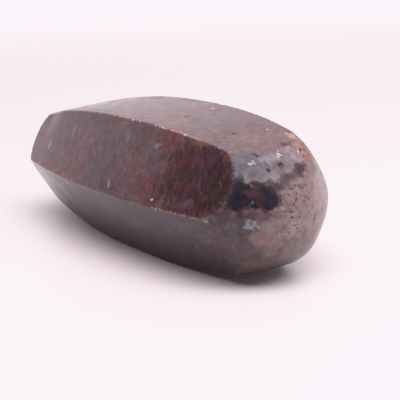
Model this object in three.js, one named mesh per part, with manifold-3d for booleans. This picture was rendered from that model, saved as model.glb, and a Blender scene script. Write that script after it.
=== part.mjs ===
// Ruby crystal: one natural crystal of corundum, a six-sided prism that swells in the middle like a
// barrel and ends in two worn domes. It lies on one of its prism faces.
// Units are millimetres. X runs along the crystal, Z is up, and the crystal rests on Z = 0.

import * as THREE from "three";
import { mergeVertices } from "three/addons/utils/BufferGeometryUtils.js";
import Module from "manifold-3d";

// ---- Driving dimensions ---------------------------------------------------------------------------

// The six prism faces, seen along X: the way each one faces (degrees from +Y towards +Z) and its
// distance from the crystal's axis where the barrel is widest.
const PRISM_FACES = {
  backUpper: { turn: 30, distance: 8.7 },
  top: { turn: 93, distance: 7.82 },
  frontUpper: { turn: 151, distance: 7.7 },
  frontLower: { turn: 210.5, distance: 7.08 },
  bottom: { turn: 270, distance: 6.88 },
  backLower: { turn: 330, distance: 7.9 },
};

// The barrel: the section is largest at WIDEST_X and shrinks towards each end by the share `taper`
// at the distance `reach`, along a curve of the power `power`.
const WIDEST_X = 0.47;
const BARREL_NEAR = { reach: 16.9, taper: 0.181, power: 2.5 };
const BARREL_FAR = { reach: 19.15, taper: 0.257, power: 2.06 };

// How far the worn faces stand out in the middle between two edges.
const FACE_BULGE = 0.05;

// The worn ends. A dome starts at `start` along X, is `height` long, and its foot is `fullness` times
// the full section. `power` bends its profile, and `corner` rounds its six corners.
const DOME_NEAR = { side: 1, start: 17.24, height: 5.6, fullness: 0.898, power: 1.17, corner: 6.9 };
const DOME_FAR = { side: -1, start: 17.07, height: 5.1, fullness: 0.917, power: 1.77, corner: 4.8 };

// Behind its foot a dome widens like a cone, by this share of its radius for each of its heights.
const DOME_FLARE = 0.6;

// The mesh: rows from a rim to its apex, rows along the prism, and columns across each prism face.
const DOME_ROWS = 11;
const PRISM_ROWS = 30;
const FACE_COLUMNS = 9;
const RIM_SEARCH_STEPS = 40;

// The rubbed flat that the crystal lies on, below the axis.
const BASE_DEPTH = 6.74;

// Chips along the prism edges: the two faces that meet there, and for each chip its place along X,
// its length and how deep it bites.
const EDGE_CHIPS = [
  {
    between: ["top", "frontUpper"],
    chips: [
      { x: -0.1, length: 0.9, bite: 0.16 },
      { x: 1.8, length: 1.3, bite: 0.2 },
      { x: 3.6, length: 0.7, bite: 0.14 },
      { x: 6.0, length: 1.2, bite: 0.18 },
      { x: 7.8, length: 1.5, bite: 0.2 },
      { x: 11.2, length: 0.9, bite: 0.15 },
      { x: 15.4, length: 0.7, bite: 0.14 },
    ],
  },
  {
    between: ["frontUpper", "frontLower"],
    chips: [
      { x: 6.9, length: 1.0, bite: 0.16 },
      { x: 8.9, length: 1.2, bite: 0.2 },
      { x: 11.0, length: 0.9, bite: 0.18 },
      { x: 16.2, length: 0.7, bite: 0.2 },
    ],
  },
  {
    between: ["backUpper", "top"],
    chips: [
      { x: -9.2, length: 1.1, bite: 0.16 },
      { x: 4.3, length: 0.8, bite: 0.14 },
    ],
  },
  {
    between: ["backLower", "backUpper"],
    chips: [
      { x: -4.6, length: 1.3, bite: 0.2 },
      { x: 8.4, length: 0.9, bite: 0.15 },
    ],
  },
];

// Pits on the near dome: the way each lies from the axis, how far out, how wide and how deep.
const DOME_PITS = [
  { turn: 112, out: 5.1, width: 0.5, depth: 0.14 },
  { turn: 92, out: 5.1, width: 0.8, depth: 0.18 },
  { turn: 94, out: 3.2, width: 0.6, depth: 0.16 },
  { turn: 78, out: 3.1, width: 0.5, depth: 0.14 },
  { turn: 66, out: 2.2, width: 0.6, depth: 0.16 },
  { turn: 95, out: 2.1, width: 0.4, depth: 0.12 },
  { turn: 143, out: 1.6, width: 0.6, depth: 0.16 },
  { turn: 4, out: 1.5, width: 0.7, depth: 0.18 },
];

// Pits on the flat faces: the face, the place along X and across the face, the width and the depth.
const FACE_PITS = [
  { face: "top", x: 5.7, across: 0.2, width: 0.7, depth: 0.12 },
  { face: "top", x: 13.9, across: 0.4, width: 0.6, depth: 0.12 },
  { face: "backUpper", x: -6.5, across: -1.5, width: 0.8, depth: 0.14 },
  { face: "backLower", x: 2.4, across: 1.8, width: 0.6, depth: 0.12 },
];

const RUBY_COLOUR = 0x6f5450;
const RUBY_ROUGHNESS = 0.3;

// ---- Form of the crystal, about its own axis --------------------------------------------------------

function radians(degrees) {
  return THREE.MathUtils.degToRad(degrees);
}

// The size of the section at x, as a share of the section at WIDEST_X.
function sectionScale(x) {
  const barrel = x > WIDEST_X ? BARREL_NEAR : BARREL_FAR;
  return 1 - barrel.taper * (Math.abs(x - WIDEST_X) / barrel.reach) ** barrel.power;
}

// The corner where two neighbouring prism faces meet, as (y, z) at WIDEST_X.
function sectionCorner(faceA, faceB) {
  const a = { y: Math.cos(radians(faceA.turn)), z: Math.sin(radians(faceA.turn)) };
  const b = { y: Math.cos(radians(faceB.turn)), z: Math.sin(radians(faceB.turn)) };
  const determinant = a.y * b.z - b.y * a.z;
  const y = (faceA.distance * b.z - faceB.distance * a.z) / determinant;
  const z = (faceB.distance * a.y - faceA.distance * b.y) / determinant;
  return new THREE.Vector2(y, z);
}

// The radius of the rounded hexagon that a dome's foot has, in the direction `angle`.
function domeRadius(dome, angle) {
  let sum = 0;
  for (const face of Object.values(PRISM_FACES)) {
    const toward = Math.cos(angle - radians(face.turn)) / face.distance;
    sum += Math.max(0, toward) ** dome.corner;
  }
  return dome.fullness / sum ** (1 / dome.corner);
}

// How far along X the dome's skin is, at the share `out` of its foot's radius.
function domeHeight(dome, out) {
  return dome.start + dome.height * (1 - out * out) ** (1 / dome.power);
}

// The share of its foot's radius that a dome has at `reach` from the origin, on its own side.
function domeShare(dome, reach) {
  const rise = (reach - dome.start) / dome.height;
  if (rise < 0) {
    return 1 - DOME_FLARE * rise;
  }
  return Math.sqrt(Math.max(0, 1 - rise ** dome.power));
}

// The outline of the section at WIDEST_X, from +Y towards +Z: each face runs from edge to edge.
function sectionOutline() {
  const faces = Object.values(PRISM_FACES);
  const outline = [];
  faces.forEach((face, i) => {
    const from = sectionCorner(faces[(i + faces.length - 1) % faces.length], face);
    const to = sectionCorner(face, faces[(i + 1) % faces.length]);
    const outward = new THREE.Vector2(Math.cos(radians(face.turn)), Math.sin(radians(face.turn)));
    for (let column = 0; column < FACE_COLUMNS; column += 1) {
      const share = column / FACE_COLUMNS;
      const point = from.clone().lerp(to, share);
      outline.push(point.addScaledVector(outward, 4 * FACE_BULGE * share * (1 - share)));
    }
  });
  return outline;
}

// How far out, on a dome's own side, the prism's skin meets the dome in the direction of `point`.
function rimReach(dome, point) {
  const foot = domeRadius(dome, Math.atan2(point.y, point.x));
  let inner = 0;
  let outer = dome.start + dome.height;
  for (let step = 0; step < RIM_SEARCH_STEPS; step += 1) {
    const middle = (inner + outer) / 2;
    const prismRadius = point.length() * sectionScale(dome.side * middle);
    if (prismRadius < foot * domeShare(dome, middle)) {
      inner = middle;
    } else {
      outer = middle;
    }
  }
  return inner;
}

// A point on a dome's skin: `climb` is 0 at its rim and 1 at its apex.
function domePoint(dome, point, climb) {
  const rim = rimReach(dome, point);
  const apex = dome.start + dome.height;
  const reach = rim + (apex - rim) * Math.sin((climb * Math.PI) / 2);
  const radius = domeRadius(dome, Math.atan2(point.y, point.x)) * domeShare(dome, reach);
  const direction = point.clone().normalize();
  return new THREE.Vector3(dome.side * reach, direction.x * radius, direction.y * radius);
}

// A point on the prism's skin: `along` is 0 at the near rim and 1 at the far rim.
function prismPoint(point, along) {
  const nearX = rimReach(DOME_NEAR, point);
  const farX = -rimReach(DOME_FAR, point);
  const x = nearX + (farX - nearX) * along;
  const scale = sectionScale(x);
  return new THREE.Vector3(x, point.x * scale, point.y * scale);
}

// ---- Solids -------------------------------------------------------------------------------------------

const wasm = await Module();
wasm.setup();

function toSolid(geometry) {
  geometry.deleteAttribute("normal");
  geometry.deleteAttribute("uv");
  const merged = mergeVertices(geometry);
  return new wasm.Manifold(
    new wasm.Mesh({
      numProp: 3,
      vertProperties: new Float32Array(merged.attributes.position.array),
      triVerts: new Uint32Array(merged.index.array),
    }),
  );
}

function toGeometry(solid) {
  const mesh = solid.getMesh();
  const geometry = new THREE.BufferGeometry();
  geometry.setAttribute("position", new THREE.BufferAttribute(mesh.vertProperties, 3));
  geometry.setIndex(new THREE.BufferAttribute(mesh.triVerts, 1));
  return geometry;
}

// The whole crystal before it is chipped: a sphere whose rows are laid over the near dome, the prism
// and the far dome, and whose columns meet the six edges.
function makeBody() {
  const outline = sectionOutline();
  const rows = 2 * DOME_ROWS + PRISM_ROWS;
  const geometry = new THREE.SphereGeometry(1, outline.length, rows);
  const position = geometry.attributes.position;
  for (let i = 0; i < position.count; i += 1) {
    const row = Math.floor(i / (outline.length + 1));
    const point = outline[(i % (outline.length + 1)) % outline.length];
    let skin;
    if (row < DOME_ROWS) {
      skin = domePoint(DOME_NEAR, point, 1 - row / DOME_ROWS);
    } else if (row > DOME_ROWS + PRISM_ROWS) {
      skin = domePoint(DOME_FAR, point, (row - DOME_ROWS - PRISM_ROWS) / DOME_ROWS);
    } else {
      skin = prismPoint(point, (row - DOME_ROWS) / PRISM_ROWS);
    }
    position.setXYZ(i, skin.x, skin.y, skin.z);
  }
  return geometry;
}

// The block under the crystal that cuts its rubbed flat.
function makeGround() {
  const size = 4 * DOME_NEAR.start;
  const geometry = new THREE.BoxGeometry(size, size, size);
  return geometry.translate(0, 0, -BASE_DEPTH - size / 2);
}

// A lens that takes a hollow `width` wide and `depth` deep out of the skin at `place`, where `outward`
// points straight out of the stone. `length`, where given, stretches the hollow along X.
function makeHollow(place, outward, width, depth, length = width) {
  const radius = (width * width) / (8 * depth) + depth / 2;
  const stretch = length / width;
  const centre = place.clone().addScaledVector(outward, radius - depth);
  const geometry = new THREE.IcosahedronGeometry(radius, 2);
  return geometry.scale(stretch, 1, 1).translate(centre.x, centre.y, centre.z);
}

function makeEdgeChips() {
  const hollows = [];
  for (const { between, chips } of EDGE_CHIPS) {
    const corner = sectionCorner(PRISM_FACES[between[0]], PRISM_FACES[between[1]]);
    const outward = new THREE.Vector3(0, corner.x, corner.y).normalize();
    for (const { x, length, bite } of chips) {
      const scale = sectionScale(x);
      const place = new THREE.Vector3(x, corner.x * scale, corner.y * scale);
      hollows.push(makeHollow(place, outward, 3 * bite, bite, length));
    }
  }
  return hollows;
}

function makeDomePits() {
  return DOME_PITS.map(({ turn, out, width, depth }) => {
    const angle = radians(turn);
    const share = out / domeRadius(DOME_NEAR, angle);
    const x = domeHeight(DOME_NEAR, share);
    const place = new THREE.Vector3(x, out * Math.cos(angle), out * Math.sin(angle));
    const outward = place.clone().setX(x - DOME_NEAR.start + DOME_NEAR.height / 2).normalize();
    return makeHollow(place, outward, width, depth);
  });
}

function makeFacePits() {
  return FACE_PITS.map(({ face, x, across, width, depth }) => {
    const { turn, distance } = PRISM_FACES[face];
    const outward = new THREE.Vector3(0, Math.cos(radians(turn)), Math.sin(radians(turn)));
    const sideways = new THREE.Vector3(0, -outward.z, outward.y);
    const place = new THREE.Vector3(x, 0, 0);
    place.addScaledVector(outward, distance * sectionScale(x)).addScaledVector(sideways, across);
    return makeHollow(place, outward, width, depth);
  });
}

function makeCrystal() {
  let solid = toSolid(makeBody()).subtract(toSolid(makeGround()));
  for (const hollow of [...makeEdgeChips(), ...makeDomePits(), ...makeFacePits()]) {
    solid = solid.subtract(toSolid(hollow));
  }
  // The origin goes to the middle of the crystal's footprint, on the surface that it lies on.
  const geometry = toGeometry(solid);
  geometry.computeBoundingBox();
  const middle = geometry.boundingBox.getCenter(new THREE.Vector3());
  return geometry.translate(-middle.x, -middle.y, BASE_DEPTH);
}

// ---- The part -----------------------------------------------------------------------------------------

const ruby = new THREE.MeshStandardMaterial({
  color: RUBY_COLOUR,
  roughness: RUBY_ROUGHNESS,
  metalness: 0,
});

const crystal = new THREE.Mesh(makeCrystal(), ruby);
crystal.name = "ruby_crystal";

const part = new THREE.Group();
part.add(crystal);

export default part;
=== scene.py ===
# %% [markdown]
# # A polished ruby crystal
# The object is one natural crystal of corundum: a six-sided prism that swells in the middle like a
# barrel, with both ends worn to domes. It was tumbled until its faces shone, so light slides over
# flat faces, edges rounded to a few tenths of a millimetre, small chips and pits.
# The frame holds the same crystal as a plain solid, at its real size. Everything made here stays
# inside that solid's box.

import math
import random

import bpy
import numpy as np
from mathutils import Matrix, Vector, noise


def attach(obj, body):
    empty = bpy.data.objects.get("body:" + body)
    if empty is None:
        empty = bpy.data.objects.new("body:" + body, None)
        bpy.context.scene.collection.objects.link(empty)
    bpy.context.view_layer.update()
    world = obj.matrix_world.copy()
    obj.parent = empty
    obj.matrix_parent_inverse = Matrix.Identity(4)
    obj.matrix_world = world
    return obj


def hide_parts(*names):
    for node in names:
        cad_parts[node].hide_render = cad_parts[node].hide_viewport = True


MM = 0.001

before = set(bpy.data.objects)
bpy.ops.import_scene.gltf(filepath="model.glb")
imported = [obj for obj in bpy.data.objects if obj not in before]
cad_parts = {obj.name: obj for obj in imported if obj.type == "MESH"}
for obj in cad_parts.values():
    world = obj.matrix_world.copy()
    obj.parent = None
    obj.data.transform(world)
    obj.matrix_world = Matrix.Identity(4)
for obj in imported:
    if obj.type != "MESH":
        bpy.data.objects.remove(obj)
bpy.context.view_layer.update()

# %% [markdown]
# ## The measures of the crystal
# A crystal of this habit is described by few numbers: which way its six faces look and how far
# each lies from the axis, how fast the barrel narrows, and how round its ends are worn. They are the
# solid's own measures, in millimetres about the crystal's axis, which runs along X.

# %% Measures
FACES = {
    "back upper": (30.0, 8.70),
    "top": (93.0, 7.82),
    "front upper": (151.0, 7.70),
    "front lower": (210.5, 7.08),
    "bottom": (270.0, 6.88),
    "back lower": (330.0, 7.90),
}
FACE_BULGE = 0.05
WIDEST_X = 0.47
BARREL_NEAR = {"reach": 16.9, "taper": 0.181, "power": 2.5}
BARREL_FAR = {"reach": 19.15, "taper": 0.257, "power": 2.06}
DOME_NEAR = {"side": 1, "start": 17.24, "height": 5.6, "fullness": 0.898, "power": 1.17, "corner": 6.9}
DOME_FAR = {"side": -1, "start": 17.07, "height": 5.1, "fullness": 0.917, "power": 1.77, "corner": 4.8}
DOMES = (DOME_NEAR, DOME_FAR)
DOME_NAMES = ("near dome", "far dome")
DOME_FLARE = 0.6
BASE_DEPTH = 6.74

face_names = list(FACES)
face_angles = np.radians([turn for turn, _ in FACES.values()])
face_distances = np.array([distance for _, distance in FACES.values()])
face_normals = np.stack([np.cos(face_angles), np.sin(face_angles)], axis=1)
print("faces:", ", ".join(face_names))

# %% [markdown]
# ## The form as a formula
# A few small functions say where the skin is: the section's size along the barrel, the radius of a
# dome, and the hexagon's own outline. A sphere's rows and columns can then be laid over the crystal
# so that columns meet its six edges and rows meet its two rims. Cutting a block with planes would
# leave facets on the domes, and a boolean would leave slivers at the rims, so the grid is laid.


# %% The form
def section_scale(x):
    """The section's size at x, as a share of the widest section."""
    near = (np.clip(x - WIDEST_X, 0, None) / BARREL_NEAR["reach"]) ** BARREL_NEAR["power"]
    far = (np.clip(WIDEST_X - x, 0, None) / BARREL_FAR["reach"]) ** BARREL_FAR["power"]
    return 1 - BARREL_NEAR["taper"] * near - BARREL_FAR["taper"] * far


def toward_faces(y, z):
    """How far a point lies towards each face, as a share of that face's distance."""
    return np.clip((np.stack([y, z], axis=-1) @ face_normals.T) / face_distances, 1e-6, None)


def dome_pull(dome, y, z):
    """How far a point lies from the axis, as a share of the dome's rounded foot."""
    pull = toward_faces(y, z) ** dome["corner"]
    return pull.sum(axis=-1) ** (1 / dome["corner"]) / dome["fullness"]


def dome_share(dome, reach):
    """The dome's radius at a reach along X, as a share of its foot. Behind the foot it flares."""
    rise = (reach - dome["start"]) / dome["height"]
    cap = np.sqrt(np.clip(1 - np.clip(rise, 0, 1) ** dome["power"], 0, None))
    return np.where(rise < 0, 1 - DOME_FLARE * rise, cap)


def section_corner(i):
    """Where face i meets the face before it, at the widest section."""
    return np.linalg.solve(face_normals[[i - 1, i]], face_distances[[i - 1, i]])


corners = np.array([section_corner(i) for i in range(len(FACES))])
axis_at = np.array([
    (DOME_FAR["start"] + DOME_FAR["height"] - DOME_NEAR["start"] - DOME_NEAR["height"]) / 2,
    -(corners[:, 0].max() + corners[:, 0].min()) / 2,
    BASE_DEPTH,
])
print("the crystal's axis passes through", axis_at.round(2), "mm")

# %% [markdown]
# ## The grid of the skin
# The sphere is a real primitive, with 34 columns to a face and a row every quarter of a millimetre.
# Its rows and columns are moved to the crystal's faces and domes in one step, which no operator of
# edit mode can do, so the places are worked out with numpy.

# %% Lay a sphere over the crystal
FACE_COLUMNS = 34
DOME_ROWS = 36
PRISM_ROWS = 130
COLUMNS = FACE_COLUMNS * len(FACES)
ROWS = 2 * DOME_ROWS + PRISM_ROWS
SEARCH_STEPS = 40

bpy.ops.object.select_all(action="DESELECT")
bpy.ops.mesh.primitive_uv_sphere_add(segments=COLUMNS, ring_count=ROWS, radius=1)
crystal = bpy.context.object
crystal.name = "polished_ruby"
crystal.data.name = "polished_ruby"


def mesh_points():
    """The places of the crystal's vertices, as one row each."""
    places = np.empty(3 * len(crystal.data.vertices))
    crystal.data.vertices.foreach_get("co", places)
    return places.reshape(-1, 3)


def move_mesh(places):
    crystal.data.vertices.foreach_set("co", places.ravel())
    crystal.data.update()


ball = mesh_points()
row = np.round(np.arccos(np.clip(ball[:, 2], -1, 1)) / np.pi * ROWS)
column = np.round(np.arctan2(ball[:, 1], ball[:, 0]) / (2 * np.pi) * COLUMNS).astype(int) % COLUMNS
face = column // FACE_COLUMNS
share = ((column % FACE_COLUMNS) / FACE_COLUMNS)[:, None]
outline = corners[face] * (1 - share) + corners[(face + 1) % len(FACES)] * share
outline = outline + face_normals[face] * 4 * FACE_BULGE * share * (1 - share)


def rim_reach(dome):
    """How far out along X the prism's skin meets the dome, for each vertex's direction."""
    pull = dome_pull(dome, outline[:, 0], outline[:, 1])
    inner = np.zeros(len(outline))
    outer = np.full(len(outline), dome["start"] + dome["height"])
    for _ in range(SEARCH_STEPS):
        middle = (inner + outer) / 2
        inside = pull * section_scale(dome["side"] * middle) < dome_share(dome, middle)
        inner = np.where(inside, middle, inner)
        outer = np.where(inside, outer, middle)
    return inner


def dome_skin(dome, climb):
    rim = rim_reach(dome)
    apex = dome["start"] + dome["height"]
    reach = rim + (apex - rim) * np.sin(climb * np.pi / 2)
    spread = dome_share(dome, reach) / dome_pull(dome, outline[:, 0], outline[:, 1])
    return np.column_stack([dome["side"] * reach, outline * spread[:, None]])


along = np.clip((row - DOME_ROWS) / PRISM_ROWS, 0, 1)
prism_x = rim_reach(DOME_NEAR) * (1 - along) - rim_reach(DOME_FAR) * along
prism_skin = np.column_stack([prism_x, outline * section_scale(prism_x)[:, None]])
near_skin = dome_skin(DOME_NEAR, np.clip(1 - row / DOME_ROWS, 0, 1))
far_skin = dome_skin(DOME_FAR, np.clip((row - DOME_ROWS - PRISM_ROWS) / DOME_ROWS, 0, 1))
on_near = (row < DOME_ROWS)[:, None]
on_far = (row > DOME_ROWS + PRISM_ROWS)[:, None]
laid = np.where(on_near, near_skin, np.where(on_far, far_skin, prism_skin))
rims = laid[(row == DOME_ROWS) | (row == DOME_ROWS + PRISM_ROWS)]
move_mesh(laid)
print("skin:", len(crystal.data.vertices), "vertices in", COLUMNS, "columns")

# %% [markdown]
# ## Where the camera stands
# The marks of the two front faces, the top and the near dome are placed as they are seen, so
# the camera's place is needed first. It stands near the table, a hand's width from the near dome,
# and is held a little askew. Its three directions are right, up and back, and it is measured in
# millimetres about the crystal's axis. A mark's place is a pixel of a square picture.

# %% The camera's place
AZIMUTH, ELEVATION, ROLL = 54.494, 14.906, -2.347
DISTANCE, SHIFT_RIGHT, SHIFT_UP, FOCAL_LENGTH = 102.04, -4.261, 2.213, 84.76
SENSOR_WIDTH = 36.0
PICTURE_SIDE = 400

turn, lift, tilt = (math.radians(angle) for angle in (AZIMUTH, ELEVATION, ROLL))
back = np.array([math.sin(turn) * math.cos(lift), -math.cos(turn) * math.cos(lift), math.sin(lift)])
level = np.array([math.cos(turn), math.sin(turn), 0])
upright = np.cross(back, level)
right = level * math.cos(tilt) + upright * math.sin(tilt)
up = upright * math.cos(tilt) - level * math.sin(tilt)
view_ways = np.array([right, up, back])
eye = back * DISTANCE - right * SHIFT_RIGHT - up * SHIFT_UP
pixels_across = FOCAL_LENGTH / SENSOR_WIDTH * PICTURE_SIDE


def in_picture(point):
    """The pixel, right and down, where the camera sees a point."""
    seen = view_ways @ (point - eye)
    return PICTURE_SIDE / 2 + pixels_across * np.array([seen[0], -seen[1]]) / -seen[2]


print("the crystal's middle is seen at pixel", in_picture(np.zeros(3)).round(1))

# %% [markdown]
# ## Where the marks fall
# Tumbling leaves chips on the edges and opens pits where softer grains sat. The largest are listed:
# chips by their edge, the place along it, their length and their bite, and pits by their
# place, length, width, turn and depth, in millimetres and degrees. Pits on the sides that the camera
# sees have their place in the picture. On the other sides a place on a face is how far along the
# crystal and how far across from the face's middle, and a place on a dome is its Y and Z. Along every
# edge and the upper part of each rim there are also many nibbles, drawn at random from a fixed seed.

# %% Chips and pits
EDGE_CHIPS = {
    ("top", "front upper"): [
        (-0.2, 0.5, 0.09), (2.4, 0.8, 0.13), (3.8, 0.5, 0.10), (6.6, 0.4, 0.09), (7.9, 0.9, 0.12),
        (9.9, 0.4, 0.08), (11.2, 0.5, 0.11), (13.3, 0.4, 0.09), (16.0, 0.5, 0.10),
    ],
    ("front upper", "front lower"): [
        (-1.6, 0.6, 0.09), (-0.4, 0.5, 0.08), (7.5, 0.5, 0.10), (8.4, 0.4, 0.09), (10.5, 0.5, 0.11),
        (11.5, 0.8, 0.12), (14.2, 0.4, 0.08), (16.3, 0.5, 0.12), (17.6, 0.5, 0.12),
    ],
    ("back upper", "top"): [(-9.2, 1.1, 0.16), (4.3, 0.8, 0.14), (11.6, 0.7, 0.12)],
    ("back lower", "back upper"): [(-4.6, 1.3, 0.20), (8.4, 0.9, 0.15)],
}
SEEN_PITS = [
    # pixel right, pixel down, length, width, turn in degrees, depth
    (187, 116, 0.8, 0.36, 35, 0.14), (233.7, 133.4, 0.7, 0.36, 20, 0.14),
    # along the near rim's top
    (253, 153.8, 0.9, 0.25, 80, 0.1), (257, 155.5, 0.5, 0.22, 20, 0.1),
    (268.4, 170.3, 0.5, 0.42, 0, 0.16), (281, 165, 0.9, 0.8, 30, 0.14), (277, 161, 0.3, 0.25, 0, 0.06),
    (286.5, 144.3, 1, 0.35, 60, 0.12), (296, 148, 0.7, 0.25, 150, 0.1),
    (300.5, 151.5, 0.8, 0.25, 150, 0.12), (304, 156, 0.6, 0.22, 150, 0.1),
    (277.5, 152, 0.5, 0.22, 170, 0.06), (281, 157, 0.5, 0.2, 100, 0.06), (284, 150, 0.4, 0.2, 20, 0.06),
    # the field of small bent pits on the near dome
    (292, 188.5, 0.55, 0.28, 60, 0.12), (295.5, 186, 0.45, 0.26, 110, 0.12),
    (299, 186, 0.45, 0.2, 80, 0.08), (302.5, 188, 0.45, 0.24, 50, 0.1), (280.5, 196, 0.45, 0.26, 30, 0.1),
    (289, 195, 0.5, 0.24, 0, 0.1), (297, 193.5, 0.5, 0.18, 70, 0.08), (301, 196, 0.5, 0.18, 30, 0.08),
    (306, 197, 0.42, 0.18, 20, 0.09), (308.5, 199.5, 0.42, 0.18, 160, 0.09),
    (296.5, 200.5, 0.75, 0.26, 150, 0.12), (294, 205, 0.4, 0.2, 40, 0.08), (282, 205, 0.3, 0.2, 0, 0.07),
    (286, 203.5, 0.3, 0.2, 60, 0.07), (290, 206, 0.3, 0.2, 120, 0.07), (291, 212.5, 0.62, 0.36, 70, 0.1),
    (292, 217.6, 0.5, 0.2, 90, 0.1), (285, 212, 0.35, 0.2, 90, 0.07), (315, 218, 0.95, 0.28, 160, 0.14),
    # shallow curved lines below the field
    (294, 226, 0.6, 0.14, 70, 0.05), (298.5, 225, 0.6, 0.14, 85, 0.05),
    (303, 227.5, 0.6, 0.14, 120, 0.05), (299, 234, 0.6, 0.14, 75, 0.05),
    (303.5, 235.5, 0.6, 0.14, 110, 0.05), (297, 229.5, 0.55, 0.13, 75, 0.05),
    (301, 231.5, 0.55, 0.13, 115, 0.05),
    # the dome's left part, and one on the front upper face
    (250, 205, 0.5, 0.3, 60, 0.08), (251, 225, 0.8, 0.55, 30, 0.06), (256, 230.5, 0.8, 0.5, 40, 0.1),
    (241, 236, 1, 0.6, 50, 0.05), (279.6, 236, 0.55, 0.16, 0, 0.06), (171.5, 211, 0.34, 0.3, 0, 0.08),
]
PITS = {
    # first, second, length, width, turn in degrees, depth
    "far dome": [
        (1.8, 2.2, 0.90, 0.50, 20, 0.14), (-1.6, -1.8, 0.70, 0.50, 80, 0.12),
        (-4.4, 2.6, 0.60, 0.40, 50, 0.10), (4.8, -1.7, 0.80, 0.40, 0, 0.12),
    ],
    "back upper": [(-6.5, 1.0, 0.80, 0.60, 30, 0.14)],
    "back lower": [(2.4, 1.4, 0.80, 0.60, 60, 0.12)],
}
NIBBLE_SEED = 1764
NIBBLES_PER_MM = 0.9
RIM_NIBBLES = 130
NIBBLE_END = 15.5
NIBBLE_LENGTH, NIBBLE_BITE = (0.15, 0.55), (0.02, 0.16)
RIM_NIBBLE_LENGTH, RIM_NIBBLE_BITE = (0.12, 0.42), (0.02, 0.14)
LEAST_BITE = 0.045
STIPPLE = {"middle": (-0.4, 1.5), "reach": 2.6, "count": 60}
STIPPLE_LENGTH, STIPPLE_WIDTH, STIPPLE_DEPTH = (0.16, 0.34), (0.4, 1), (0.06, 0.16)
FROSTED_EDGES = [
    # the edge's two faces, from X, to X, width in mm
    ("top", "front upper", 6.0, 14.2, 0.13),
    ("front upper", "front lower", 10.0, 19.5, 0.11),
    ("top", "front upper", -2.0, 5.0, 0.06),
]

dice = random.Random(NIBBLE_SEED)


def edge_place(i, x):
    return np.array([x, *(corners[i] * section_scale(x))])


def edge_way(i, x, step=0.1):
    """The direction along edge i at x."""
    way = edge_place(i, x + step) - edge_place(i, x - step)
    return way / np.linalg.norm(way)


chips = []
for (one, other), places in EDGE_CHIPS.items():
    i = face_names.index(other)
    chips += [(edge_place(i, x), edge_way(i, x), length, bite) for x, length, bite in places]
large_chips = len(chips)
for i in range(len(FACES)):
    x = -NIBBLE_END
    while x < NIBBLE_END:
        length = dice.uniform(*NIBBLE_LENGTH)
        bite = dice.uniform(*NIBBLE_BITE) * length + LEAST_BITE
        chips.append((edge_place(i, x), edge_way(i, x), length, bite))
        x += dice.expovariate(NIBBLES_PER_MM)
print(large_chips, "chips placed by hand,", len(chips) - large_chips, "nibbles along the edges")

# %% [markdown]
# ## Worn edges
# Tumbling takes the most off what sticks out, so every edge and rim is rounded. The rounding comes
# from a blended norm: each face and each dome has a claim on a point, the largest claim is 1 on the
# skin, and where two claims are near each other they add up and the skin draws in. The power sets
# the radius, about 0.2 mm. A bevel would round the edges as well, but it can't follow the rims,
# where a flat face runs out into a dome at an angle that changes all the way.

# %% The worn skin
WEAR_POWER = 190
SOFT_POWER = 24
SHARE_POWER = 200
KEEL = 12.0
SKIN_SEARCH = (0.8, 1.2)
BEYOND_DOMES = 1.1 * (DOME_FAR["start"] + DOME_FAR["height"])
SIGHT = (75.0, 125.0)
SIGHT_STEP = 0.05

surfaces = [*face_names, *DOME_NAMES]


def claims(points):
    """One column for each face and each dome."""
    x, y, z = points.T
    columns = [toward_faces(y, z) / section_scale(x)[:, None]]
    for dome in DOMES:
        rise = (dome["side"] * x - dome["start"]) / dome["height"]
        pull = dome_pull(dome, y, z)
        ahead = np.sqrt(np.clip(rise, 0, None) ** dome["power"] + pull**2)
        behind = pull / (1 + DOME_FLARE * np.clip(-rise, 0, None))
        columns.append(np.where(rise > 0, ahead, behind))
    return np.column_stack(columns)


def fullness(points, power=WEAR_POWER):
    """1 on the worn skin, less inside it."""
    return (claims(points) ** power).sum(axis=1) ** (1 / power)


def outward(points, power=WEAR_POWER, step=0.01):
    """The direction out of the skin. A low power averages it over an edge."""
    slopes = []
    for way in step * np.eye(3):
        slopes.append(fullness(points + way, power) - fullness(points - way, power))
    slopes = np.stack(slopes, axis=1)
    return slopes / np.linalg.norm(slopes, axis=1, keepdims=True)


def on_worn_skin(points):
    """Draws points in or out, away from the axis' nearest stretch, until they lie on the skin."""
    anchor = np.column_stack([np.clip(points[:, 0], -KEEL, KEEL), np.zeros((len(points), 2))])
    low, high = (np.full(len(points), share) for share in SKIN_SEARCH)
    for _ in range(SEARCH_STEPS):
        middle = (low + high) / 2
        inside = fullness(anchor + (points - anchor) * middle[:, None]) < 1
        low = np.where(inside, middle, low)
        high = np.where(inside, high, middle)
    return anchor + (points - anchor) * low[:, None]


def spot(surface, first, second):
    """A place on the skin: mm along and across a face, or the Y and Z of a place on a dome."""
    if surface in FACES:
        i = face_names.index(surface)
        across = np.array([-face_normals[i][1], face_normals[i][0]])
        middle = face_normals[i] * face_distances[i] * section_scale(first)
        return on_worn_skin(np.array([[first, *(middle + across * second)]]))[0]
    side = DOMES[DOME_NAMES.index(surface)]["side"]
    low, high = 0.0, BEYOND_DOMES
    for _ in range(SEARCH_STEPS):
        middle = (low + high) / 2
        inside = fullness(np.array([[side * middle, first, second]]))[0] < 1
        low, high = (middle, high) if inside else (low, middle)
    return np.array([side * low, first, second])


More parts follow.
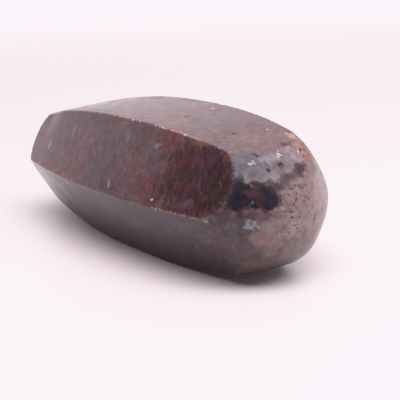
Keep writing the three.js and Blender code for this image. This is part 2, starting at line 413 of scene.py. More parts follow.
def seen_spot(pixel_right, pixel_down):
    """The place on the skin that the camera sees at a pixel."""
    offset = (np.array([pixel_right, -pixel_down]) - np.array([1, -1]) * PICTURE_SIDE / 2) / pixels_across
    way = offset @ view_ways[:2] - view_ways[2]
    ahead = np.arange(*SIGHT, SIGHT_STEP)
    inside = fullness(eye + ahead[:, None] * way) < 1
    high = ahead[np.argmax(inside)]
    low = high - SIGHT_STEP
    for _ in range(SEARCH_STEPS):
        middle = (low + high) / 2
        if fullness((eye + middle * way)[None])[0] < 1:
            high = middle
        else:
            low = middle
    return eye + low * way


def edge_gap(points):
    """How clearly one face or dome wins: 0 on an edge or rim, more away from it."""
    ordered = np.sort(claims(points), axis=1)
    return ordered[:, -1] - ordered[:, -2]


# %% [markdown]
# ## Finer mesh where it is needed
# A quarter of a millimetre is fine enough for the faces, but not for an edge's roundness or a chip.
# Selected faces are subdivided in edit mode: once along every edge and rim and in the field of fine
# pits, and once more where a large chip or a pit will be. The whole crystal at that fineness would
# have more than a million triangles.
# Subdividing leaves the new vertices in an order that changes from run to run, so nothing that is
# drawn at random below is picked by a vertex's number.

# %% Subdivide the edges and the marks
EDGE_BAND = 0.055
MARK_MARGIN = 0.15

bpy.context.tool_settings.mesh_select_mode = (False, False, True)


def cut_finer(chosen):
    bpy.ops.object.mode_set(mode="EDIT")
    bpy.ops.mesh.select_all(action="DESELECT")
    bpy.ops.object.mode_set(mode="OBJECT")
    crystal.data.polygons.foreach_set("select", chosen)
    bpy.ops.object.mode_set(mode="EDIT")
    bpy.ops.mesh.subdivide(number_cuts=1, ngon=False)
    bpy.ops.object.mode_set(mode="OBJECT")


def face_middles():
    middles = np.empty(3 * len(crystal.data.polygons))
    crystal.data.polygons.foreach_get("center", middles)
    return middles.reshape(-1, 3)


def near_marks(middles, centres, reaches):
    chosen = np.zeros(len(middles), bool)
    for centre, reach in zip(centres, reaches):
        chosen |= np.linalg.norm(middles - centre, axis=1) < reach
    return chosen


pits = [(seen_spot(*pit[:2]), *pit[2:]) for pit in SEEN_PITS]
pits += [(spot(surface, *pit[:2]), *pit[2:]) for surface, marks in PITS.items() for pit in marks]
mark_centres = [mark[0] for mark in chips[:large_chips] + pits]
mark_reaches = [chip[2] / 2 + MARK_MARGIN for chip in chips[:large_chips]]
mark_reaches += [pit[1] / 2 + MARK_MARGIN for pit in pits]
middles = face_middles()
worn = edge_gap(middles) < EDGE_BAND
stippled = near_marks(middles, [spot("near dome", *STIPPLE["middle"])], [STIPPLE["reach"]])
cut_finer(worn | stippled | near_marks(middles, mark_centres, mark_reaches))
cut_finer(near_marks(face_middles(), mark_centres, mark_reaches))
triangles = sum(len(polygon.vertices) - 2 for polygon in crystal.data.polygons)
print("refined skin:", len(crystal.data.vertices), "vertices,", triangles, "triangles")

# %% Round the edges
sharp = mesh_points()
skin = on_worn_skin(sharp)
print("edges drawn in by up to", round(float(np.linalg.norm(sharp - skin, axis=1).max()), 3), "mm")
normals = outward(skin)
side_share = claims(skin) ** SHARE_POWER
side_share /= side_share.sum(axis=1, keepdims=True)
edge_wear = np.clip(1 - edge_gap(skin) / EDGE_BAND, 0, 1)

# %% [markdown]
# ## Growth and wear in the faces
# No natural face is a true plane. Corundum grows in steps across its length, and tumbling leaves
# shallow swells, so a reflection wavers as it slides along. Both are at most a few hundredths of a
# millimetre deep. They are taken inwards only, so the crystal keeps its size. One corner of the far
# rim stuck out and is worn round. Along one stretch of the near rim the skin is deeply etched,
# where a softer vein ran out.

# %% Swells, growth steps and the etched vein
SWELL_SIZE = 7.0
SWELL_DEPTH = 0.05
STEP_SIZE, STEP_LENGTH = 0.9, 14
STEP_DEPTH = 0.010
VEIN_FROM = np.array([17.0, 3.9, 6.7])
VEIN_TO = np.array([20.0, 3.7, 4.8])
VEIN_WIDTH = 0.75
VEIN_DEPTH = 0.16
VEIN_GRAIN = 0.55
VEIN_RAGGED, VEIN_RAGGED_SIZE, VEIN_CORE = 0.7, 0.9, 0.45
VEIN_LEAST, VEIN_SWING = 0.35, 0.9
WORN_CORNER = {"face": "front upper", "x": -17.3, "reach": 2.4, "depth": 0.3}


def swing(points, size, octaves=3, seed=0.0):
    """Smooth noise between about 0 and 1, with swings of the given size in mm."""
    return np.array([
        0.5 + 0.5 * noise.fractal(Vector(point) / size + Vector((seed, seed, seed)), 1.0, 2.0, octaves)
        for point in points
    ])


def smoothstep(low, high, values):
    share = np.clip((values - low) / (high - low), 0, 1)
    return share * share * (3 - 2 * share)


swells = SWELL_DEPTH * swing(skin, SWELL_SIZE)
stretched = skin * np.array([1 / STEP_SIZE, 1 / STEP_LENGTH, 1 / STEP_LENGTH])
steps = STEP_DEPTH * np.abs(2 * swing(stretched, 1.0, octaves=2, seed=3.1) - 1)
steps *= side_share[:, : len(FACES)].sum(axis=1)
vein_way = VEIN_TO - VEIN_FROM
along_vein = np.clip(((skin - VEIN_FROM) @ vein_way) / (vein_way @ vein_way), 0, 1)
from_vein = np.linalg.norm(skin - VEIN_FROM - along_vein[:, None] * vein_way, axis=1)
ragged = from_vein + VEIN_RAGGED * (swing(skin, VEIN_RAGGED_SIZE, seed=7.7) - 0.5)
vein = 1 - smoothstep(VEIN_CORE * VEIN_WIDTH, VEIN_WIDTH, ragged)
vein_swing = VEIN_SWING * np.abs(2 * swing(skin, VEIN_GRAIN, octaves=4, seed=9.2) - 1)
vein_floor = VEIN_DEPTH * vein * (VEIN_LEAST + vein_swing)
skin -= normals * (swells + steps + vein_floor)[:, None]
worn_corner = edge_place(face_names.index(WORN_CORNER["face"]), WORN_CORNER["x"])
from_corner = np.linalg.norm(skin - worn_corner, axis=1)
worn_off = WORN_CORNER["depth"] * np.exp(-((from_corner / WORN_CORNER["reach"]) ** 2))
skin -= worn_off[:, None] * outward(worn_corner[None], SOFT_POWER)
print("growth steps up to", round(float(steps.max()), 3), "mm")
print("vein up to", round(float(vein_floor.max()), 2), "mm deep")

# %% [markdown]
# ## Chips and nibbles
# A chip on a brittle edge is a shell-shaped scoop. Each is cut as one: points above a shallow
# curved floor are dropped onto it, along the direction that halves the edge, and a little noise
# breaks the floor. How much was cut off is kept as the attribute "fresh", for the material.


# %% Cut the chips
FLOOR_SAG_ACROSS = 0.35
FLOOR_NOISE = 0.5
FLOOR_GRAIN = 0.22
FRESH_FROM = 0.09
RIM_ABOVE = 2
HALFWAY_OUT, DEEPEST_CUT, FARTHEST_CUT = 0.5, 1.5, 3

fresh = np.zeros(len(skin))
rim_places = rims[rims[:, 2] > RIM_ABOVE - BASE_DEPTH]
for _ in range(RIM_NIBBLES):
    place = rim_places[dice.randrange(len(rim_places))]
    way = np.cross((1, 0, 0), (0, place[1], place[2]))
    length = dice.uniform(*RIM_NIBBLE_LENGTH)
    bite = dice.uniform(*RIM_NIBBLE_BITE) * length + LEAST_BITE
    chips.append((place, way / np.linalg.norm(way), length, bite))


def cut_chip(place, way, length, bite):
    centre = on_worn_skin(place[None])[0]
    centre = centre + (place - centre) * HALFWAY_OUT
    out = outward(centre[None], SOFT_POWER)[0]
    close = np.nonzero(np.abs(skin - centre).max(axis=1) < length)[0]
    offset = skin[close] - centre
    reach = offset @ way / (length / 2)
    across = offset @ np.cross(out, way) / (length / 2)
    grain = np.array([noise.noise(Vector(point) / FLOOR_GRAIN) for point in skin[close]])
    floor = -bite * (1 - reach**2 - FLOOR_SAG_ACROSS * across**2 + FLOOR_NOISE * grain)
    cut = np.clip(offset @ out - floor, 0, DEEPEST_CUT * bite)
    cut[offset @ out < -FARTHEST_CUT * bite] = 0
    skin[close] -= cut[:, None] * out
    fresh[close] = np.maximum(fresh[close], np.clip(cut / FRESH_FROM, 0, 1))


for chip in chips:
    cut_chip(*chip)
print(len(chips), "chips and nibbles touch", int((fresh > 0.5).sum()), "vertices")

# %% [markdown]
# ## Pits
# Where a grain of softer mineral fell out there is a pit with a steep wall and an uneven outline.
# The near dome has a field of fine ones. Its depth is kept as the attribute "pit", because dirt
# and polish collect there and make it dark.

# %% Sink the pits
PIT_RAGGED, PIT_GRAIN, PIT_FLOOR = 0.45, 0.2, 0.35
LOOKS_ALONG = 0.7

hollow = np.zeros(len(skin))


def sink_pit(centre, length, width, turn, depth):
    out = outward(centre[None])[0]
    guide = np.array([1.0, 0, 0]) if abs(out[0]) < LOOKS_ALONG else np.array([0, 0, 1.0])
    first = guide - out * (guide @ out)
    first /= np.linalg.norm(first)
    second = np.cross(out, first)
    turned = math.radians(turn)
    cosine, sine = math.cos(turned), math.sin(turned)
    close = np.nonzero(np.abs(skin - centre).max(axis=1) < length)[0]
    offset = skin[close] - centre
    reach = offset @ (first * cosine + second * sine) / (length / 2)
    across = offset @ (second * cosine - first * sine) / (width / 2)
    grain = np.array([noise.noise(Vector(point) / PIT_GRAIN) for point in skin[close]])
    share = 1 - smoothstep(PIT_FLOOR, 1.0, np.hypot(reach, across) * (1 + PIT_RAGGED * grain))
    skin[close] -= (depth * share)[:, None] * out
    hollow[close] = np.maximum(hollow[close], share)


for pit in pits:
    sink_pit(*pit)
for _ in range(STIPPLE["count"]):
    heading, away = dice.uniform(0, 2 * math.pi), STIPPLE["reach"] * math.sqrt(dice.random())
    offset = away * np.array([math.cos(heading), math.sin(heading)])
    place = spot("near dome", *(STIPPLE["middle"] + offset))
    length = dice.uniform(*STIPPLE_LENGTH)
    width = length * dice.uniform(*STIPPLE_WIDTH)
    turned = dice.uniform(0, 180)
    sink_pit(place, length, width, turned, length * dice.uniform(*STIPPLE_DEPTH))
print(len(pits), "pits by hand and", STIPPLE["count"], "fine ones")

# %% [markdown]
# ## Finish the mesh
# The flat that the crystal rests on is kept true, the mesh is turned from millimetres to metres at
# its place, and attributes are written for the material: fresh breaks, pits, worn edges, the etched
# vein, and how much of each point belongs to each face and dome.

# %% Flat, attributes and shading
FROST_FADE = 1.5

skin[:, 2] = np.maximum(skin[:, 2], -BASE_DEPTH)
move_mesh((skin + axis_at) * MM)
frost = np.zeros(len(skin))
for _, face_name, start, end, width in FROSTED_EDGES:
    corner = corners[face_names.index(face_name)]
    away = np.linalg.norm(sharp[:, 1:] - corner * section_scale(sharp[:, 0])[:, None], axis=1)
    stretch = smoothstep(start, start + FROST_FADE, sharp[:, 0])
    stretch *= 1 - smoothstep(end - FROST_FADE, end, sharp[:, 0])
    frost = np.maximum(frost, stretch * np.exp(-((away / width) ** 2)))
attributes = {"fresh": fresh, "pit": hollow, "edge": edge_wear, "frost": frost, "vein": vein}
attributes.update({name: side_share[:, i] for i, name in enumerate(surfaces)})
for name, values in attributes.items():
    layer = crystal.data.attributes.new(name, "FLOAT", "POINT")
    layer.data.foreach_set("value", values.astype(np.float32))
bpy.ops.object.shade_smooth()
print("attributes:", ", ".join(attributes))

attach(crystal, "root")
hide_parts("ruby_crystal")

# %% [markdown]
# ## Colours
# Ruby is corundum that chromium has coloured red. A crystal of this grade isn't clear: iron and
# inclusions turn it maroon, plum, slate and rust in zones that follow its growth. The zones' colours
# are named here once, as sRGB hex values, and one function turns them to the linear values that
# nodes expect.

# %% Colours and nodes
PALETTE = {
    "ruby brown": "#463435",
    "rosy brown": "#4d3533",
    "warm brown": "#4d3c35",
    "dark maroon": "#271b1d",
    "maroon": "#3f2a2b",
    "blue-black": "#17171d",
    "violet-black": "#1b151d",
    "plum": "#3e2b34",
    "deep plum": "#341e24",
    "dark plum": "#270c28",
    "deep violet": "#342930",
    "grey mauve": "#4e3f3f",
    "grey green": "#403d38",
    "brick red": "#522323",
    "rust": "#6c4232",
    "warm rust": "#6c4a3c",
    "olive brown": "#30261b",
    "pinkish grey": "#695c5b",
    "rosy grey": "#6c5855",
    "rosy": "#735050",
    "pale grey": "#766c6c",
    "bluish grey": "#3d3c3f",
    "slate": "#3f3d46",
    "deep slate": "#332f34",
    "grey": "#4d484a",
    "warm grey": "#524844",
    "pale blue": "#6c6f76",
    "pale green": "#656c63",
    "pale yellow": "#a29482",
    "frosted": "#8f706b",
    "fresh break": "#aa9e9e",
    "dirt": "#1d1418",
}


def linear(hex_colour):
    """An sRGB hex colour as linear red, green, blue and alpha."""
    channels = [int(hex_colour[i : i + 2], 16) / 255 for i in (1, 3, 5)]
    return [c / 12.92 if c <= 0.04045 else ((c + 0.055) / 1.055) ** 2.4 for c in channels] + [1.0]


def node(tree, kind, inputs=None, **settings):
    """Adds a node with its settings. An input is a value or the socket it is linked from."""
    new = tree.nodes.new(kind)
    for name, value in settings.items():
        setattr(new, name, value)
    for name, value in (inputs or {}).items():
        if isinstance(value, bpy.types.NodeSocket):
            tree.links.new(value, new.inputs[name])
        else:
            new.inputs[name].default_value = value
    return new


# The seventh and eighth sockets of a Mix node are its colours, and its third output is their mix.
MIX_FROM, MIX_TO, MIXED = 6, 7, 2
SMOOTH = {"interpolation_type": "SMOOTHSTEP", "clamp": False}
print(len(PALETTE), "colours")

# %% [markdown]
# ## Where the zones lie
# Each face and dome has a ground tint, and on it lie zones with soft, ragged outlines. The zones that
# make this crystal its own are listed for the two front faces, the top and the near dome, as
# they are seen: where each lies in the picture, half its width and height there, and how strong it
# is. The camera's place turns them to places and reaches on the skin, in millimetres.
# The other sides get zones of the same kinds, drawn at random from a fixed seed. Some zones seen
# on the front lower face, the top and the near dome paint shade and reflections instead; each is
# marked where it is listed.

# %% Grounds and zones
GROUNDS = {
    "front upper": ("ruby brown", 0.35),
    "front lower": ("dark plum", 0.85),
    "top": ("warm brown", 0.5),
    "back upper": ("ruby brown", 0.35),
    "bottom": ("deep plum", 0.6),
    "back lower": ("ruby brown", 0.5),
    "near dome": ("pinkish grey", 0.8),
    "far dome": ("rosy brown", 0.9),
}
SEEN_ZONES = [
    # tint, pixel right, pixel down, half its width and height in pixels, strength
    # front upper: broad
    ("rosy brown", 50, 142, 22, 30, 0.6), ("grey green", 62, 126, 14, 18, 0.35),
    ("maroon", 158, 178, 24, 32, 0.6), ("dark maroon", 194, 178, 36, 42, 0.9),
    ("dark maroon", 224, 178, 14, 36, 0.92), ("plum", 206, 157, 12, 12, 0.4),
    ("slate", 150, 160, 14, 16, 0.22), ("brick red", 37, 161, 8, 4, 0.7),
    ("brick red", 47, 167, 12, 4, 0.7), ("brick red", 62, 174.5, 12, 3.5, 0.6),
    ("warm rust", 38, 163, 6, 2.4, 0.55), ("warm rust", 46, 167, 6, 2.4, 0.55),
    ("warm rust", 54, 170.5, 6, 2.4, 0.55), ("warm rust", 63, 174.5, 6, 2.2, 0.5),
    ("rust", 70, 178.5, 6, 2.2, 0.35), ("olive brown", 88, 186, 8, 2.5, 0.5),
    ("brick red", 81, 113, 13, 3, 0.4), ("rosy", 86, 136, 12, 12, 0.18), ("rosy", 44, 124, 5, 9, 0.25),
    ("slate", 102, 127, 8, 9, 0.35), ("slate", 102, 161, 9, 11, 0.32),
    ("grey green", 92, 173, 7, 12, 0.45), ("grey green", 124, 158, 8, 14, 0.4),
    ("plum", 121, 182, 10, 9, 0.4), ("rust", 125, 123, 5, 4, 0.35), ("brick red", 136, 168, 6, 12, 0.28),
    ("brick red", 166, 133, 13, 4.5, 0.5), ("brick red", 171, 142, 9, 8, 0.6),
    ("warm brown", 186, 139, 10, 5, 0.4), ("rust", 203, 142, 9, 4, 0.55),
    ("rust", 227, 156, 2.5, 6, 0.28), ("rust", 163, 168, 4, 7, 0.25),
    ("brick red", 171, 170, 8, 12, 0.28), ("olive brown", 180, 178, 6, 7, 0.45),
    ("brick red", 188, 188, 10, 7, 0.22), ("grey", 184, 204, 10, 5, 0.32),
    ("brick red", 174, 211, 9, 3.5, 0.28), ("brick red", 198, 211, 5, 6, 0.16),
    ("olive brown", 226.5, 172, 3, 16, 0.75), ("olive brown", 214, 196, 5, 12, 0.5),
    ("brick red", 150, 196, 9, 9, 0.25), ("grey green", 150, 134, 8, 9, 0.35),
    # front upper: pale streaks
    ("pale blue", 49.6, 145, 1.8, 9, 0.65), ("pale green", 73, 132, 1.8, 8, 0.5),
    ("pale blue", 109, 184, 1.5, 8, 0.65), ("pale green", 127.5, 138, 1.8, 5, 0.55),
    ("pale green", 158, 145, 4, 3, 0.45), ("fresh break", 150.5, 200, 1.4, 1.4, 0.9),
    # front upper: patches
    ("grey green", 90, 120, 20, 6, 0.22), ("deep slate", 94, 170, 5, 13, 0.5),
    ("deep slate", 104, 148, 5, 12, 0.35), ("grey green", 118, 138, 15, 14, 0.45),
    ("slate", 111, 152, 9, 14, 0.35), ("rosy brown", 78, 160, 9, 16, 0.45),
    ("brick red", 56, 148, 3, 8, 0.3), ("brick red", 70, 140, 4, 9, 0.25),
    ("brick red", 130, 150, 4, 6, 0.35), ("brick red", 146, 182, 8, 6, 0.4),
    ("rust", 141, 172, 2.5, 3, 0.4), ("brick red", 128, 190, 5, 7, 0.35),
    ("olive brown", 112, 120, 12, 5, 0.3), ("brick red", 190, 160, 9, 14, 0.22),
    ("plum", 205, 180, 14, 10, 0.3),
    # top. The pale grey zone at its far end, at pixel 100, 105, is painted reflection: the sheen of
    # the bright tent at a grazing angle.
    ("pale grey", 150, 106, 40, 14, 0.14), ("pale grey", 100, 105, 20, 7, 0.15),
    ("warm brown", 258, 141, 26, 9, 0.5), ("slate", 208, 125, 12, 5, 0.5),
    ("slate", 236, 123, 11, 5, 0.4), ("rosy", 176, 121, 12, 7, 0.22), ("warm grey", 199, 113, 14, 4, 0.4),
    ("rosy", 248, 137, 11, 5, 0.16), ("rosy", 280, 134, 9, 5, 0.12),
    ("fresh break", 212.7, 108.2, 1.3, 1.2, 0.7), ("fresh break", 267, 129, 1.2, 1.2, 0.6),
    ("pale yellow", 293.5, 135, 5, 3, 0.5), ("violet-black", 289, 143, 3.5, 1.8, 0.95),
    # front lower. Its blue-black and dark maroon strips low down are painted shade: they darken the
    # face towards the table.
    ("ruby brown", 62, 192, 18, 12, 0.65), ("grey green", 104, 202, 26, 6, 0.45),
    ("slate", 184, 228, 22, 9, 0.45), ("maroon", 130, 224, 22, 6, 0.5),
    ("grey mauve", 215, 240, 12, 8, 0.3), ("rosy", 135, 222, 18, 6, 0.3),
    ("rosy grey", 108, 206, 16, 5, 0.25), ("rosy", 168, 231, 15, 5, 0.22),
    ("rosy grey", 205, 240, 12, 5, 0.22), ("blue-black", 150, 238, 24, 4, 0.6),
    ("rosy", 82, 196, 14, 5, 0.25), ("blue-black", 190, 255, 40, 8, 0.55),
    ("pale grey", 197, 246, 0.6, 5.5, 0.55), ("pale grey", 193, 243, 0.5, 3, 0.4),
    ("pale grey", 133, 224, 0.9, 0.9, 0.5), ("pale grey", 151, 224, 0.9, 0.9, 0.45),
    ("maroon", 84, 205, 16, 7, 0.72), ("dark maroon", 120, 222, 34, 9, 0.75),
    ("dark maroon", 160, 238, 30, 9, 0.75), ("olive brown", 66, 194, 14, 7, 0.35),
    ("brick red", 72, 191, 9, 4, 0.3), ("warm grey", 224, 250, 9, 7, 0.5),
    ("warm brown", 231, 259, 8, 6, 0.5), ("fresh break", 156, 209.5, 1.6, 1, 0.7),
    ("fresh break", 194.8, 219, 1.6, 1.2, 0.9), ("fresh break", 205.5, 223, 1.6, 1.2, 0.6),
    # near dome: broad
    # The pale grey zone along the dome's right rim is painted sheen: the light that rim catches at a
    # grazing angle.
    ("pale grey", 323, 200, 8, 34, 0.6), ("rosy grey", 270, 240, 18, 10, 0.65),
    ("warm grey", 262, 178, 22, 8, 0.6), ("bluish grey", 256, 164, 34, 16, 0.95),
    ("bluish grey", 280, 162, 20, 16, 0.55), ("deep slate", 234, 168, 5, 14, 0.5),
    ("deep violet", 236, 226, 20, 18, 0.85), ("deep violet", 226, 216, 9, 14, 0.85),
    ("deep violet", 218, 223, 9, 9, 0.85), ("deep violet", 225, 235, 9, 8, 0.85),
    ("deep violet", 240, 246, 13, 11, 0.7), ("plum", 250, 256, 18, 9, 0.6),
    ("ruby brown", 264, 258, 18, 8, 0.45), ("rosy", 263, 240, 9, 6, 0.35), ("rust", 257, 248, 6, 4, 0.25),
    ("rosy", 274, 249, 12, 7, 0.18), ("warm grey", 232, 228, 8, 6, 0.5), ("plum", 288, 256, 18, 7, 0.45),
    # The two deep plum zones below are painted shade on the dome's underside, darker towards the table.
    ("deep plum", 262, 267, 44, 9, 0.9), ("deep plum", 228, 250, 14, 14, 0.8),
    # dark band: its blue-black, violet-black, dark maroon and deep violet zones are painted reflection
    # of the tent's dark opening, laid over the real one. The small maroon, brick red, olive and plum
    # zones are marks in the stone.
    ("dark maroon", 252, 199, 26, 14, 0.97), ("dark maroon", 240, 198, 16, 17, 0.97),
    ("dark maroon", 262, 197, 18, 14, 0.9), ("blue-black", 238, 190, 11, 15, 0.99),
    ("blue-black", 236, 206, 9, 8, 0.9), ("blue-black", 231, 196, 6, 17, 0.95),
    ("violet-black", 256, 184, 9, 4, 0.9), ("violet-black", 273, 195, 9, 13, 0.98),
    ("violet-black", 279, 187, 8, 6, 0.95), ("deep violet", 285, 182, 7, 6, 0.9),
    ("deep violet", 290, 178, 7, 6, 0.9), ("deep violet", 296, 172, 7, 6, 0.9),
    ("violet-black", 301, 167.5, 6, 5.5, 0.9), ("blue-black", 253, 205, 7, 5, 0.97),
    ("violet-black", 264, 206, 10, 6, 0.9), ("maroon", 252, 194, 7, 4.5, 0.48),
    ("brick red", 245, 209, 4, 3.5, 0.28), ("olive brown", 266, 211, 3, 3, 0.85),
    ("deep violet", 256, 217, 26, 8, 0.5), ("plum", 282, 213, 12, 5, 0.3),
    # small marks
    ("slate", 242, 237, 5, 6, 0.5), ("pale blue", 250, 225, 5, 4.5, 0.7),
    ("pale blue", 256, 230, 4, 3, 0.6), ("rust", 298, 144, 5, 6, 0.62), ("rust", 303, 150, 4.5, 6, 0.62),
    ("rust", 308, 157, 4, 6, 0.6), ("maroon", 299, 148, 2, 3, 0.6), ("dirt", 304, 155, 1.2, 3, 0.6),
    ("pale grey", 303, 152, 2, 1.6, 0.5), ("pale yellow", 296.5, 138, 2.5, 2.5, 0.55),
    ("dirt", 300.5, 151, 1.2, 5.5, 0.8), ("violet-black", 287, 144.5, 6, 2.8, 0.9),
    ("rust", 312, 163, 3, 5, 0.4), ("brick red", 321, 173, 2, 5, 0.6),
    ("dark maroon", 301, 148, 1.6, 2.4, 0.8), ("dark maroon", 305, 152, 1.4, 2.6, 0.75),
    ("dark maroon", 298, 142, 1.2, 2, 0.6), ("dirt", 307, 156.5, 1.1, 2.4, 0.7),
    ("dirt", 309.5, 154.5, 0.9, 1.6, 0.6), ("grey mauve", 302, 155, 2, 2.5, 0.5),
    ("ruby brown", 281, 165, 4, 5, 0.6), ("dirt", 281, 165, 2.6, 2.8, 0.55),
    ("fresh break", 249, 163.5, 1, 1.2, 0.5), ("fresh break", 252, 164.5, 1.1, 1.2, 0.55),
    ("fresh break", 254.8, 163.5, 1, 1.2, 0.5), ("fresh break", 276.5, 150, 0.8, 2.4, 0.5),
    ("fresh break", 279, 154, 0.8, 2, 0.7), ("fresh break", 281.5, 157.5, 2.4, 0.9, 0.5),
    ("fresh break", 284.5, 150, 0.8, 2.2, 0.55), ("fresh break", 251, 201.3, 2.4, 0.9, 0.15),
    ("fresh break", 279.6, 236, 0.8, 3, 0.8), ("dirt", 252, 153.8, 5, 0.9, 0.75),
    ("dirt", 257, 156, 1, 2.4, 0.7), ("rosy", 316, 186, 8, 9, 0.35), ("rosy", 321, 208, 4, 10, 0.3),
    ("rosy", 312, 228, 8, 8, 0.3), ("dirt", 293, 147, 2, 1.2, 0.6), ("dirt", 299, 146, 1.2, 2.2, 0.55),
    ("pale yellow", 299, 153, 1.6, 1.2, 0.6), ("dirt", 305, 150, 1.2, 2, 0.5),
    # near dome: broad tones laid last
    ("ruby brown", 294, 195, 15, 15, 0.32), ("ruby brown", 303, 179, 11, 6, 0.42),
    ("maroon", 311, 167, 8, 9, 0.4), ("pale grey", 297, 228, 11, 12, 0.6),
    ("pale grey", 313, 224, 8, 11, 0.28), ("plum", 262, 217, 13, 5, 0.4),
    ("pale grey", 271, 158.5, 11, 5, 0.38), ("rosy grey", 260, 263, 15, 5, 0.2),
    ("pinkish grey", 289, 256, 12, 6, 0.35), ("violet-black", 289, 176, 4, 3, 0.45),
]
DRAWN_ZONES = {"back upper": 28, "back lower": 20, "bottom": 16, "far dome": 18}
DRAWN_TINTS = (
    "dark maroon", "maroon", "plum", "deep violet", "grey mauve", "grey green", "brick red", "rust",
    "slate", "pinkish grey", "violet-black",
)
DRAWN_REACH, DRAWN_ROUNDNESS, DRAWN_STRENGTH = (0.5, 3.2), (0.4, 1.0), (0.3, 0.8)
FACE_REACH, DOME_REACH, HALF_ACROSS = 16, 6, 4
ZONE_SEED = 88
LEANING = {"front upper": 15, "front lower": -10, "back upper": -15, "back lower": 10}
TRIAL_STEP = 0.2
STEEPEST = 0.35
SMALLEST_ZONE = 0.1
ZONE_GROWTH = 1.08


def ways_along(surface, place):
    """Two ways along the skin: along and across a face, leaning with its zones, or a dome's Y and Z."""
    if surface in FACES:
        angle = face_angles[face_names.index(surface)]
        lean = math.radians(LEANING.get(surface, 0))
        along = np.array([1.0, 0, 0])
        across = np.array([0, -math.sin(angle), math.cos(angle)])
        cosine, sine = math.cos(lean), math.sin(lean)
        return along * cosine - across * sine, along * sine + across * cosine
    out = outward(place[None])[0]
    ways = []
    for axis in (1, 2):
        way = np.eye(3)[axis] - out * out[axis]
        ways.append(way / max(abs(way[axis]), STEEPEST))
    return ways


def zone_on_skin(tint, pixel_right, pixel_down, half_width, half_height, strength):
    """Turns a zone as it is seen to one on the skin, in millimetres."""
    place = seen_spot(pixel_right, pixel_down)
    surface = surfaces[int(np.argmax(claims(place[None])))]
    reaches = []
    for way in ways_along(surface, place):
        shift = (in_picture(place + TRIAL_STEP * way) - in_picture(place)) / TRIAL_STEP
        reach = ZONE_GROWTH / math.hypot(shift[0] / half_width, shift[1] / half_height)
        reaches.append(max(reach, SMALLEST_ZONE))
    across = place[1:]
    if surface in FACES:
        angle = face_angles[face_names.index(surface)]
        across = (place[0], place[2] * math.cos(angle) - place[1] * math.sin(angle))
    return surface, (tint, *across, *reaches, strength)


zones_on = {surface: [] for surface in surfaces}
for seen in SEEN_ZONES:
    surface, zone = zone_on_skin(*seen)
    zones_on[surface].append(zone)
dice = random.Random(ZONE_SEED)
for surface, count in DRAWN_ZONES.items():
    for _ in range(count):
        farthest = FACE_REACH if surface in FACES else DOME_REACH
        first = dice.uniform(-farthest, farthest)
        second = dice.uniform(-HALF_ACROSS, HALF_ACROSS)
        reach = dice.uniform(*DRAWN_REACH)
        width = reach * dice.uniform(*DRAWN_ROUNDNESS)
        tint = dice.choice(DRAWN_TINTS)
        zones_on[surface].append((tint, first, second, reach, width, dice.uniform(*DRAWN_STRENGTH)))
print(sum(len(zones) for zones in zones_on.values()), "zones on", len(zones_on), "faces and domes")

# %% [markdown]
# ## The ruby, tumble-polished
# The material reads Object coordinates, turned to millimetres about the crystal's axis, so that
# every size below is a real one. The coordinates are pushed about by noise first, which makes the
# outlines of zones ragged. Under the zones lies a mottle. Streaks run across the upper side faces, as
# the growth steps do, and along the top, and the lower faces and the domes are speckled.

# %% Millimetres, and ragged millimetres
DRIFT_SIZE, DRIFT_REACH = 2.6, 1.1
RUFFLE_SIZE, RUFFLE_REACH = 0.7, 0.50
RAGGED_ABOVE = 0.9

ruby = bpy.data.materials.new("tumble-polished opaque ruby")
ruby.use_nodes = True
tree = ruby.node_tree
shader = tree.nodes["Principled BSDF"]
coordinates = node(tree, "ShaderNodeTexCoord")
to_mm = {"Vector": coordinates.outputs["Object"], "Location": -axis_at, "Scale": [1 / MM] * 3}
place = node(tree, "ShaderNodeMapping", to_mm).outputs[0]
ragged = []
for size, reach in ((RUFFLE_SIZE, RUFFLE_REACH), (DRIFT_SIZE, DRIFT_REACH)):
    push = {"Vector": place, "Scale": 1 / size, "Detail": 3.0}
    push = node(tree, "ShaderNodeTexNoise", push).outputs["Color"]
    centred = {0: push, 1: (0.5, 0.5, 0.5)}
    push = node(tree, "ShaderNodeVectorMath", centred, operation="SUBTRACT").outputs[0]
    reached = {0: push, 1: [2 * reach] * 3, 2: ragged[-1] if ragged else place}
    ragged.append(node(tree, "ShaderNodeVectorMath", reached, operation="MULTIPLY_ADD").outputs[0])
ruffled, drifted = ragged

# %% Mottle and streaks
LAYERS_APART, STREAKS_START = 17.0, 100.0
# tint, size of its swings in mm along X, Y and Z, where it starts, where it is full, strength
MOTTLE = [
    ("dark maroon", (3.0, 3.0, 3.0), 0.48, 0.66, 0.55),
    ("grey mauve", (1.9, 1.5, 1.5), 0.54, 0.70, 0.50),
    ("plum", (4.5, 3.0, 3.0), 0.54, 0.70, 0.45),
    ("warm brown", (1.2, 1.2, 1.2), 0.58, 0.70, 0.40),
]
CROSSWISE = [
    ("grey mauve", (0.30, 1.6, 1.6), 0.54, 0.70, 0.40),
    ("dark maroon", (0.36, 1.9, 1.9), 0.54, 0.70, 0.50),
    ("brick red", (0.42, 1.2, 1.2), 0.60, 0.74, 0.45),
    ("pale green", (0.26, 1.2, 1.2), 0.68, 0.80, 0.45),
]
LENGTHWISE = [
    ("slate", (2.4, 0.40, 0.40), 0.54, 0.70, 0.35),
    ("rosy", (2.0, 0.34, 0.34), 0.56, 0.72, 0.28),
    ("maroon", (2.8, 0.30, 0.30), 0.56, 0.72, 0.40),
]
ALL_WAYS = [
    ("rosy", (0.9, 0.9, 0.9), 0.54, 0.70, 0.35),
    ("slate", (1.3, 1.3, 1.3), 0.56, 0.72, 0.35),
    ("grey mauve", (0.45, 0.45, 0.45), 0.54, 0.70, 0.35),
]
